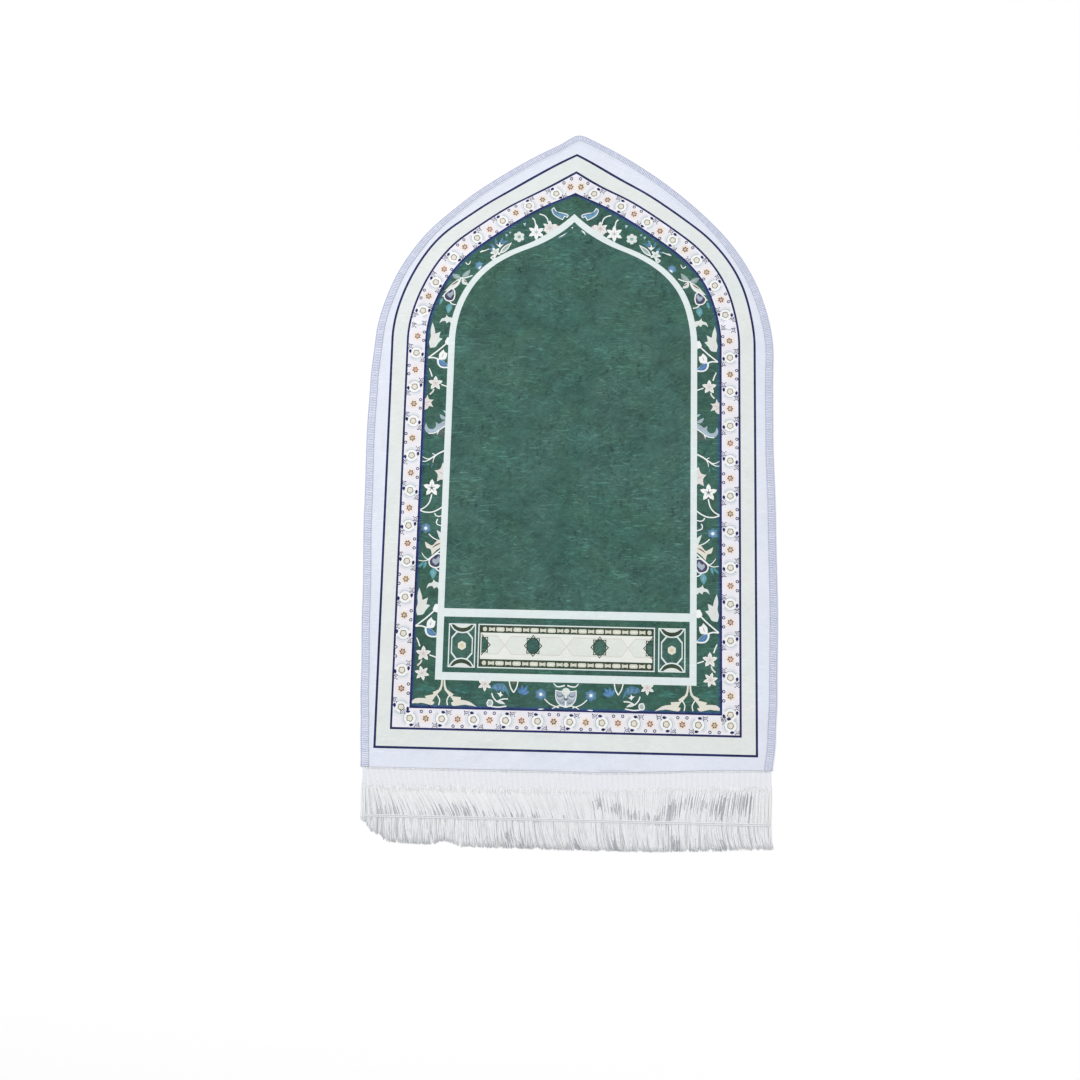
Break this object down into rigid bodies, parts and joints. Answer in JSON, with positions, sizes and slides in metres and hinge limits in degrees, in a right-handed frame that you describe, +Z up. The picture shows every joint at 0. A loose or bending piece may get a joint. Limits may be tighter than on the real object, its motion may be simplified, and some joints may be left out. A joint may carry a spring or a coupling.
{
  "type": "prayer rug",
  "caption": "Flat arch-shaped prayer rug of printed velvet cloth with an overlocked edge and a long white fringe along its foot, to kneel on.",
  "frame": {"origin": "middle of the rug's length and width, on the floor that it lies on", "axes": "+X to the right and +Y from the fringe to the arch's tip, as the print is read; +Z up from the underside to the pile"},
  "size_m": [0.6629, 1.1664, 0.0026],
  "materials": {
    "printed_velvet": "short crushed velvet, printed: dark green field and floral borders on white",
    "overlock_thread": "matt lavender-white sewing thread in close ridges",
    "fringe_yarn": "soft white yarn with a slight sheen"
  },
  "bodies": {
    "root": {"rug_cloth": "printed_velvet", "overlock_edge": "overlock_thread", "fringe": "fringe_yarn"}
  },
  "joints": []
}
